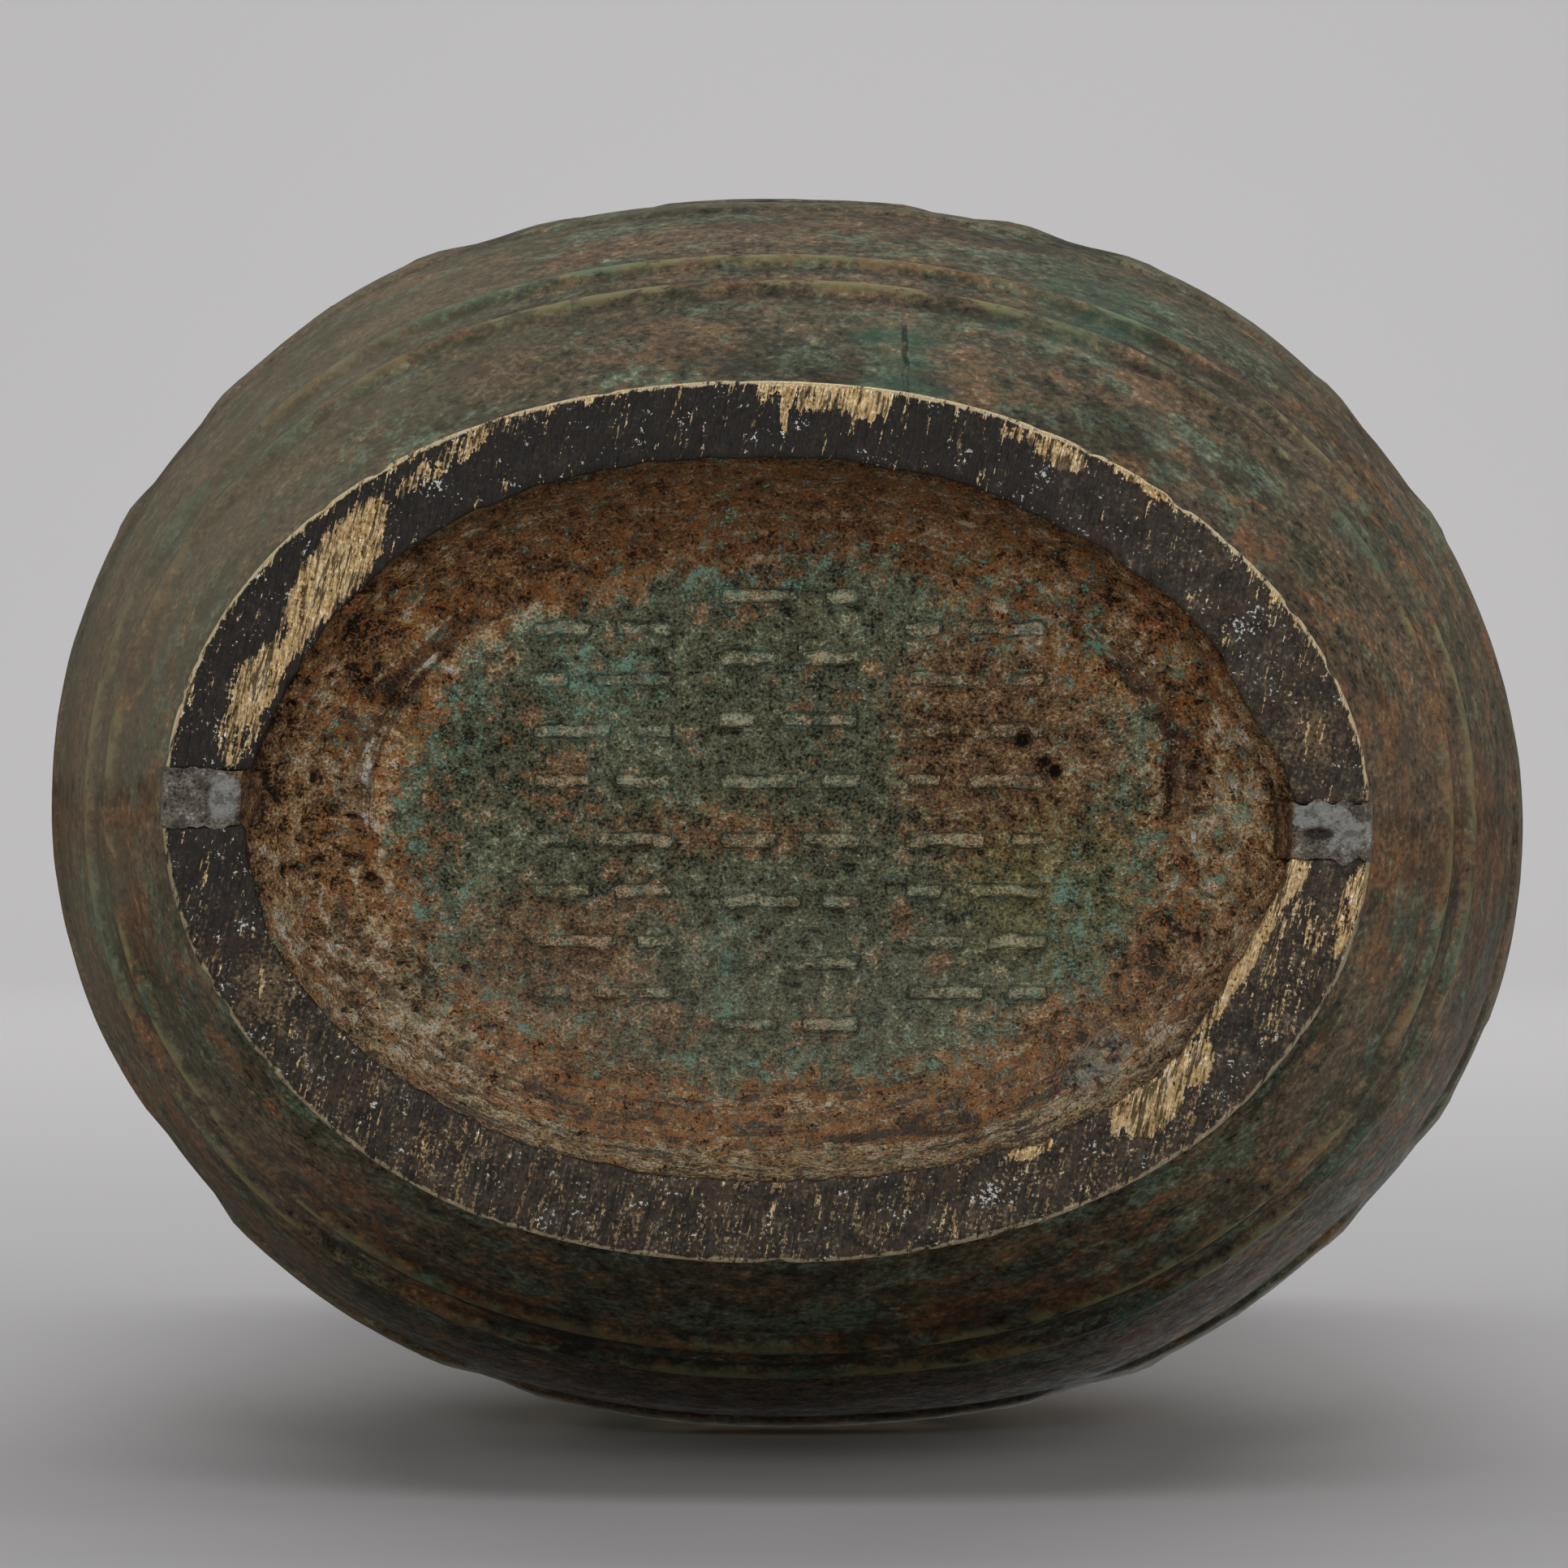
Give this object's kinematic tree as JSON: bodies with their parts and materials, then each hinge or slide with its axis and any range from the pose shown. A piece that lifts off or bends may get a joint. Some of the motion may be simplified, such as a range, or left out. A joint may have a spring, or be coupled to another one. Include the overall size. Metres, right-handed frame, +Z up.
{
  "type": "bronze vase",
  "caption": "Oval bronze vase with a recessed foot ring, swelling belly with bowstrings and a low frieze, waisted neck and flared mouth; slots in the foot ring are filled with lead.",
  "frame": {"origin": "middle of the foot ring's underside, on the surface that the vase stands on", "axes": "+Z up through the mouth, X along the long axis of the oval, Y along the short axis; the picture looks up at the underside, towards +Z, with -Y at its top and +X at its right"},
  "size_m": [0.1808, 0.1514, 0.296],
  "materials": {
    "patinated_bronze": "old cast bronze, dark brown and green patina with rust-coloured crust, the foot's rim filed and worn to bare metal in places",
    "grey_lead": "dull grey lead, smeared flush with the rim"
  },
  "bodies": {
    "root": {"vase_body": "patinated_bronze", "lead_fill_left": "grey_lead", "lead_fill_right": "grey_lead"}
  },
  "joints": []
}
